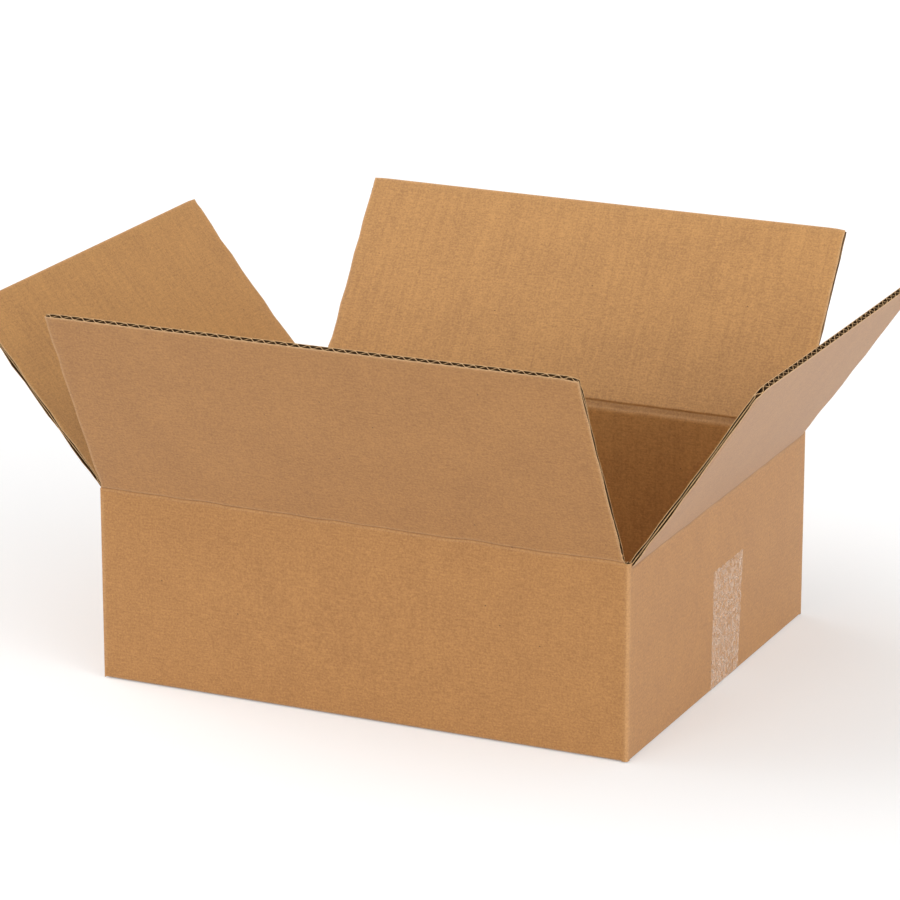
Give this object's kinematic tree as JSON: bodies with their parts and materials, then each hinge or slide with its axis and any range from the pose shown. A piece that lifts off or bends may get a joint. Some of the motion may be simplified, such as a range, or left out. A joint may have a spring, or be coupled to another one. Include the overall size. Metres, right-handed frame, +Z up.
{
  "type": "open corrugated cardboard box",
  "caption": "Shallow open-topped shipping box of single-wall corrugated board, its bottom taped shut and its hinged top flaps leaning outwards.",
  "frame": {"origin": "middle of the box's bottom, on the surface it stands on", "axes": "+X along the long front and back panels towards the right end panel, +Y from the front panel to the back panel, +Z up out of the open top"},
  "size_m": [0.4587, 0.3956, 0.2225],
  "materials": {
    "kraft_board": "matte",
    "packing_tape": "satin"
  },
  "bodies": {
    "box": {"box_shell": "kraft_board", "bottom_tape": "packing_tape"},
    "front_flap": {"front_flap": "kraft_board"},
    "back_flap": {"back_flap": "kraft_board"},
    "left_flap": {"left_flap": "kraft_board"},
    "right_flap": {"right_flap": "kraft_board"}
  },
  "joints": [
    {"name": "front_crease", "type": "hinge", "parent": "box", "child": "front_flap", "pos_m": [0, -0.12965, 0.1095], "axis": [-1, 0, 0], "range_deg": [-122.5, 117.5]},
    {"name": "back_crease", "type": "hinge", "parent": "box", "child": "back_flap", "pos_m": [0, 0.12965, 0.1095], "axis": [1, 0, 0], "range_deg": [-112, 128]},
    {"name": "left_crease", "type": "hinge", "parent": "box", "child": "left_flap", "pos_m": [-0.15505, 0, 0.1062], "axis": [0, 1, 0], "range_deg": [-111.5, 128.5]},
    {"name": "right_crease", "type": "hinge", "parent": "box", "child": "right_flap", "pos_m": [0.15505, 0, 0.1062], "axis": [0, -1, 0], "range_deg": [-116.5, 123.5]}
  ]
}
